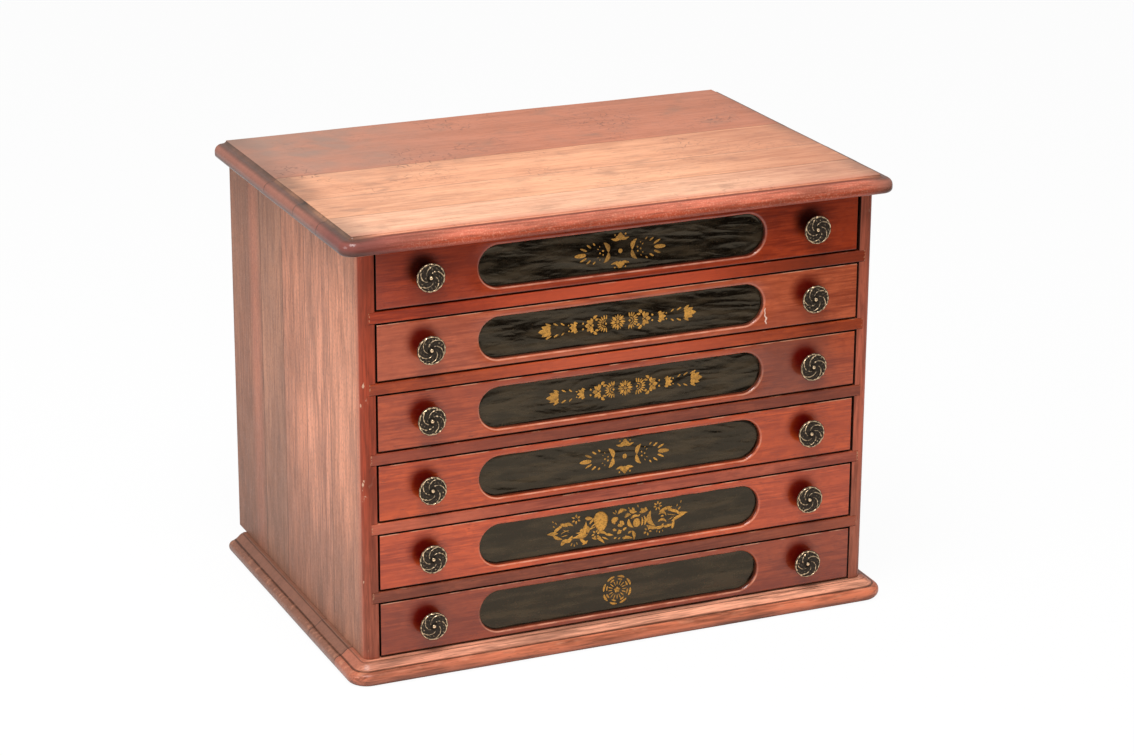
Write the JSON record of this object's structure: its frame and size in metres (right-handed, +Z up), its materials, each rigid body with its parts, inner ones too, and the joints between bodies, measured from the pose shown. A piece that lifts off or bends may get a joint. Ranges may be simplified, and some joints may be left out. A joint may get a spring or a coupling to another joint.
{
  "type": "haberdashery cabinet",
  "caption": "Table-top wooden cabinet with moulded top and base slabs and a stack of shallow sliding drawers, each with a sunk japanned panel and two rosette knobs.",
  "frame": {"origin": "bottom centre of the whole cabinet, on the surface that it stands on", "axes": "+X to the right as seen from the front, +Y to the back, +Z up; the drawers open along -Y"},
  "size_m": [0.6261, 0.4342, 0.4832],
  "materials": {
    "case_wood": "varnished, worn",
    "back_wood": "bare, aged",
    "drawer_front_wood": "glossy varnish",
    "drawer_wood": "bare",
    "japanned_sheet": "black japanning with gilt stencil, glossy",
    "cast_brass": "antique bronze",
    "steel": "plain"
  },
  "bodies": {
    "case": {"top": "case_wood", "base": "case_wood", "left_side": "case_wood", "right_side": "case_wood", "back_boards": "back_wood", "case_dowels": "drawer_wood", "runners": "drawer_wood", "rail_1": "case_wood", "rail_2": "case_wood", "rail_3": "case_wood", "rail_4": "case_wood", "rail_5": "case_wood"},
    "drawer_1": {"drawer_1_front": "drawer_front_wood", "drawer_1_left_side": "drawer_wood", "drawer_1_right_side": "drawer_wood", "drawer_1_back": "drawer_wood", "drawer_1_bottom": "drawer_wood", "drawer_1_panel": "japanned_sheet", "drawer_1_knobs": "cast_brass", "drawer_1_knob_screws": "steel"},
    "drawer_2": {"drawer_2_front": "drawer_front_wood", "drawer_2_left_side": "drawer_wood", "drawer_2_right_side": "drawer_wood", "drawer_2_back": "drawer_wood", "drawer_2_bottom": "drawer_wood", "drawer_2_panel": "japanned_sheet", "drawer_2_knobs": "cast_brass", "drawer_2_knob_screws": "steel"},
    "drawer_3": {"drawer_3_front": "drawer_front_wood", "drawer_3_left_side": "drawer_wood", "drawer_3_right_side": "drawer_wood", "drawer_3_back": "drawer_wood", "drawer_3_bottom": "drawer_wood", "drawer_3_panel": "japanned_sheet", "drawer_3_knobs": "cast_brass", "drawer_3_knob_screws": "steel"},
    "drawer_4": {"drawer_4_front": "drawer_front_wood", "drawer_4_left_side": "drawer_wood", "drawer_4_right_side": "drawer_wood", "drawer_4_back": "drawer_wood", "drawer_4_bottom": "drawer_wood", "drawer_4_panel": "japanned_sheet", "drawer_4_knobs": "cast_brass", "drawer_4_knob_screws": "steel"},
    "drawer_5": {"drawer_5_front": "drawer_front_wood", "drawer_5_left_side": "drawer_wood", "drawer_5_right_side": "drawer_wood", "drawer_5_back": "drawer_wood", "drawer_5_bottom": "drawer_wood", "drawer_5_panel": "japanned_sheet", "drawer_5_knobs": "cast_brass", "drawer_5_knob_screws": "steel"},
    "drawer_6": {"drawer_6_front": "drawer_front_wood", "drawer_6_left_side": "drawer_wood", "drawer_6_right_side": "drawer_wood", "drawer_6_back": "drawer_wood", "drawer_6_bottom": "drawer_wood", "drawer_6_panel": "japanned_sheet", "drawer_6_knobs": "cast_brass", "drawer_6_knob_screws": "steel"}
  },
  "joints": [
    {"name": "drawer_1_slide", "type": "slide", "parent": "case", "child": "drawer_1", "axis": [0, -1, 0], "range_m": [0, 0.3]},
    {"name": "drawer_2_slide", "type": "slide", "parent": "case", "child": "drawer_2", "axis": [0, -1, 0], "range_m": [0, 0.3]},
    {"name": "drawer_3_slide", "type": "slide", "parent": "case", "child": "drawer_3", "axis": [0, -1, 0], "range_m": [0, 0.3]},
    {"name": "drawer_4_slide", "type": "slide", "parent": "case", "child": "drawer_4", "axis": [0, -1, 0], "range_m": [0, 0.3]},
    {"name": "drawer_5_slide", "type": "slide", "parent": "case", "child": "drawer_5", "axis": [0, -1, 0], "range_m": [0, 0.3]},
    {"name": "drawer_6_slide", "type": "slide", "parent": "case", "child": "drawer_6", "axis": [0, -1, 0], "range_m": [0, 0.3]}
  ]
}
